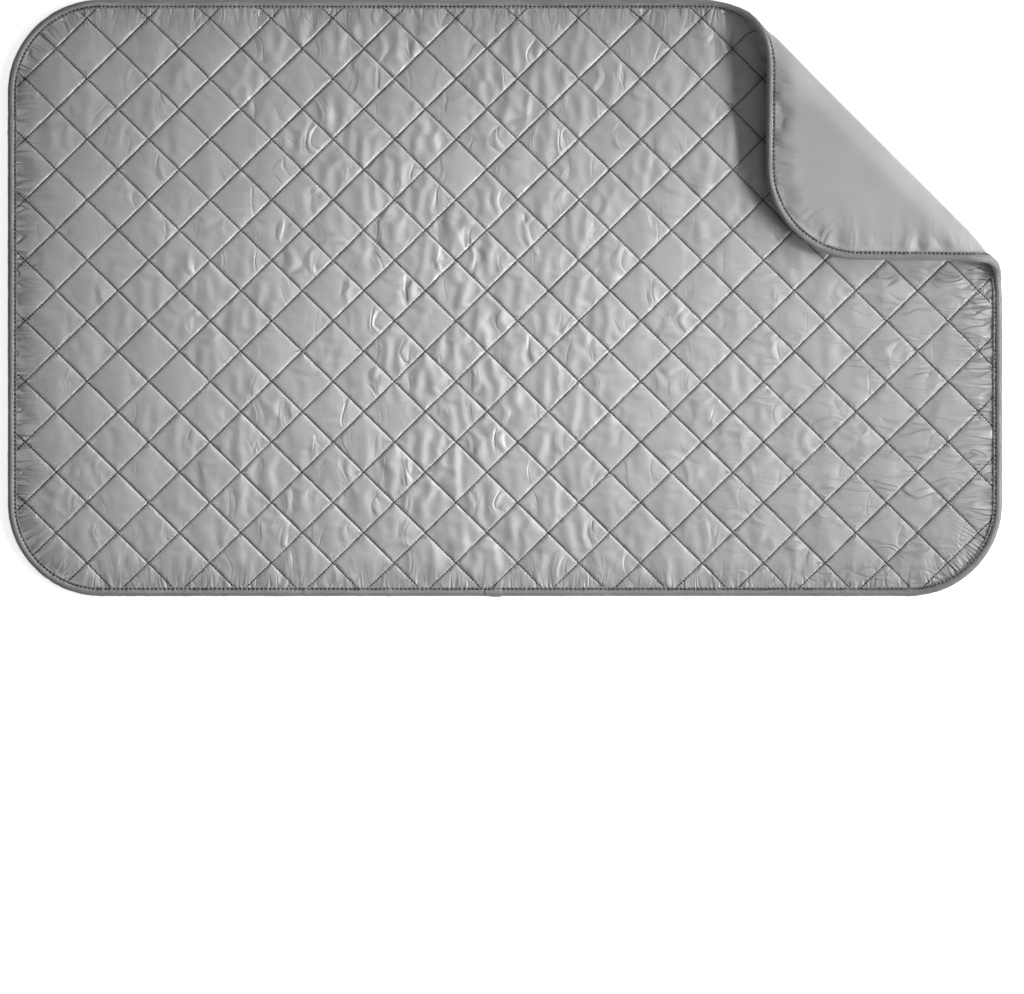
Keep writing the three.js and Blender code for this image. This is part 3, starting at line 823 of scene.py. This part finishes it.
def tape_mesh():
    """The tape as a closed strip: its outer face, its inner face one thickness in, and its cut edges."""
    outline, way, distance, around = outline_stations(STATION_STEP)
    inset, height, share = binding_section()
    step_inset, step_height = np.gradient(inset), np.gradient(height)
    length = np.hypot(step_inset, step_height)
    out_inset, out_height = -step_height / length, step_inset / length
    rng = np.random.default_rng(21)
    pucker = np.convolve(rng.normal(size=len(distance) + 40), np.hanning(9), "same")[20:-20]
    pucker = TAPE_PUCKER * pucker / pucker.std()
    stitch = STITCH_DRAW * np.cos(2 * math.pi * distance / SEAM_PITCH)
    lap = 1.1 * TAPE * smooth(distance, around - LAP_RISE, around)
    tape_across = np.concatenate([[0], np.cumsum(np.hypot(np.diff(inset), np.diff(height)))])
    place = np.stack(np.broadcast_arrays(distance[:, None], tape_across[None, :], 0.0), axis=-1)
    place = place.reshape(-1, 3)
    points = []
    for inward in (0.0, TAPE):
        out = np.outer(stitch, share) + np.outer(pucker, 0.4 + 0.6 * share) + lap[:, None] - inward
        ring_inset = inset + out * out_inset
        ring_height = np.maximum(height + out * out_height, FLOOR_GAP)
        flat = outline[:, None, :] - way[:, None, :] * ring_inset[:, :, None]
        points.append(turned(flat.reshape(-1, 2), ring_height.ravel()))
    rows, columns = len(distance), len(inset)
    number = np.arange(rows * columns).reshape(rows, columns)
    outer = np.stack([number[:-1, :-1], number[1:, :-1], number[1:, 1:], number[:-1, 1:]], -1).reshape(-1, 4)
    inner = outer[:, ::-1] + rows * columns
    edge = np.concatenate([number[:, 0], number[-1, 1:], number[-2::-1, -1], number[0, -2:0:-1]])
    next_edge = np.roll(edge, -1)
    rims = np.column_stack([edge, edge + rows * columns, next_edge + rows * columns, next_edge])
    return np.vstack(points), np.vstack([outer, inner, rims]), np.vstack([place, place])


binding_points, binding_faces, binding_places = tape_mesh()
binding = new_piece("edge_binding_tape", binding_points, binding_faces.tolist(), binding_places)
binding.data.materials.append(
    woven_polyester("woven_polyester_tape", "#7b7b7c", "#8b8b8c", 0.9 * MM, 0.5, 0.3)
)
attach(binding, "root")
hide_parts("edge_binding")

# Binding seam
# One row of lockstitch in spun polyester through both leaves of the tape and all the layers: the needle
# thread lies on the silver side, and the bobbin thread on the plain side.
SEAM_STITCH_LENGTH = 2.6 * MM
SEAM_THREAD = 1.5 * MM
# The thread is drawn about three times as wide as real thread and dark: it also paints the shade of the
# dimples its stitches pull in.
seam_thread_and_shade = spun_thread("spun_polyester_binding_thread", "#2c2c2e", "#565659")
seam_sizes = {
    "Pitch": SEAM_PITCH, "Length": SEAM_STITCH_LENGTH,
    "Thread": SEAM_THREAD, "Rise": 0.8 * SEAM_THREAD, "Turn": 0.0,
}
outline, outline_way, outline_distance, outline_around = outline_stations(GUIDE_STEP)
once_round = outline_distance < outline_around
seam_flat = (outline - outline_way * SEAM_INSET)[once_round]
needle_height, bobbin_height = BINDING_UPPER - SEAM_GROOVE, BINDING_UNDER + SEAM_GROOVE
seams = (
    ("binding_needle_stitches", "binding_seam_needle_thread", needle_height, 0.25 * SEAM_THREAD),
    ("binding_bobbin_stitches", "binding_seam_bobbin_thread", bobbin_height, -0.25 * SEAM_THREAD),
)
for name, node, height, lift in seams:
    row = on_cloth(seam_flat, np.full(len(seam_flat), height), lift)
    stitches = sewn(name, [row], seam_sizes, seam_thread_and_shade)
    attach(stitches, "root")
    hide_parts(node)

# End tacks
# Two short bars of close stitches in spun polyester across the tape, one on either side of its lapped
# end, that stop the end from working loose.
TACK_PITCH = 11 * MM
TACK_LENGTH = 4.4 * MM
TACK_WIDTH = 1.1 * MM
TACK_STITCH_PITCH = 0.45 * MM
TACK_THREAD = 0.5 * MM
TACK_INSET = 1.4 * MM
TACK_POINTS = 12
tack_thread = spun_thread("spun_polyester_tack_thread", "#2f2f31", "#4d4d50")
tack_sizes = {
    "Pitch": TACK_STITCH_PITCH, "Length": TACK_WIDTH,
    "Thread": TACK_THREAD, "Rise": TACK_THREAD, "Turn": math.pi / 2,
}
for name, side in (("binding_end_tack_left", -1), ("binding_end_tack_right", 1)):
    across = np.linspace(TACK_INSET, TACK_INSET + TACK_LENGTH, TACK_POINTS)
    bar = np.column_stack([np.full(TACK_POINTS, END_JOINT_X + side * TACK_PITCH / 2), across - PAD_WIDTH / 2])
    bar_height = np.full(TACK_POINTS, BINDING_UPPER + TAPE_BULGE)
    tack = sewn(name + "_stitches", [on_cloth(bar, bar_height, 0.2 * TACK_THREAD)], tack_sizes, tack_thread)
    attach(tack, "root")
    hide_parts(name)

# Studio
# A white floor under a dim even sky, one large soft light over the right end of the pad, three softboxes with
# grids that rake across it from the right, and a far camera that looks straight down.
PIXEL = 0.83 * MM
FRAME_PIXELS = (1024, 994)
FRAME_CENTRE = (5.8 * MM, -165.2 * MM)
CAMERA_HEIGHT = 6.0
FLOOR_REACH = 4.0
FLOOR_GLOW = 0.75
SKY = 0.17

floor_corners = [(x * FLOOR_REACH, y * FLOOR_REACH, 0) for x, y in ((-1, -1), (1, -1), (1, 1), (-1, 1))]
floor_mesh = bpy.data.meshes.new("floor")
floor_mesh.from_pydata(floor_corners, [], [(0, 1, 2, 3)])
floor = bpy.data.objects.new("floor", floor_mesh)
bpy.context.scene.collection.objects.link(floor)
# White floor paint: matt, and lifted to white only where it is seen, straight or in a reflection.
floor_paint, floor_tree = new_material("white_floor")
floor_diffuse = put(floor_tree, "ShaderNodeBsdfDiffuse", {"Color": linear("#f4f4f4")})
floor_glow = put(floor_tree, "ShaderNodeEmission", {"Color": (1, 1, 1, 1), "Strength": FLOOR_GLOW})
floor_lit = put(floor_tree, "ShaderNodeAddShader", {
    0: floor_diffuse.outputs["BSDF"], 1: floor_glow.outputs["Emission"],
})
floor_rays = put(floor_tree, "ShaderNodeLightPath").outputs
floor_seen = put(floor_tree, "ShaderNodeMath", {
    0: floor_rays["Is Camera Ray"], 1: floor_rays["Is Glossy Ray"],
}, operation="MAXIMUM")
floor_shown = put(floor_tree, "ShaderNodeMath", {
    0: floor_seen.outputs["Value"], 1: floor_rays["Is Transmission Ray"],
}, operation="MAXIMUM")
floor_mix = put(floor_tree, "ShaderNodeMixShader", {
    0: floor_shown.outputs["Value"], 1: floor_diffuse.outputs["BSDF"], 2: floor_lit.outputs["Shader"],
})
put(floor_tree, "ShaderNodeOutputMaterial", {"Surface": floor_mix.outputs["Shader"]})
floor_mesh.materials.append(floor_paint)

world = bpy.data.worlds.new("studio")
bpy.context.scene.world = world
world.use_nodes = True
world.node_tree.nodes.clear()
sky = put(world.node_tree, "ShaderNodeBackground", {"Color": (1, 1, 1, 1), "Strength": SKY})
put(world.node_tree, "ShaderNodeOutputWorld", {"Surface": sky.outputs["Background"]})


def softbox(name, place, aim, size, power, spread=180):
    """A square area light that faces a point. A grid in front of it can narrow its spread."""
    lamp = bpy.data.lights.new(name, "AREA")
    lamp.size = size
    lamp.energy = power
    lamp.spread = math.radians(spread)
    light = bpy.data.objects.new(name, lamp)
    light.location = place
    facing = light.location - Vector(aim)
    light.rotation_euler = facing.to_track_quat("Z", "Y").to_euler()
    bpy.context.scene.collection.objects.link(light)


softbox("overhead_softbox", (0.85, -0.05, 1.0), aim=(0.55, -0.05, 0.0), size=0.9, power=1.45)
softbox("front_softbox", (1.9, -1.0, 1.4), aim=(-0.35, 0.3, 0.0), size=0.45, power=0.85, spread=20)
softbox("back_softbox", (1.9, 0.95, 1.4), aim=(-0.35, -0.36, 0.0), size=0.45, power=1.1, spread=20)
softbox("side_softbox", (2.2, -0.2, 1.5), aim=(0.15, -0.05, 0.0), size=0.5, power=1.65, spread=30)

lens = bpy.data.cameras.new("camera")
lens.sensor_width = 36
lens.lens = lens.sensor_width * CAMERA_HEIGHT / (FRAME_PIXELS[0] * PIXEL)
lens.clip_end = 100
camera = bpy.data.objects.new("camera", lens)
camera.location = (*FRAME_CENTRE, CAMERA_HEIGHT)
bpy.context.scene.collection.objects.link(camera)
bpy.context.scene.camera = camera
bpy.context.scene.view_settings.view_transform = "Standard"
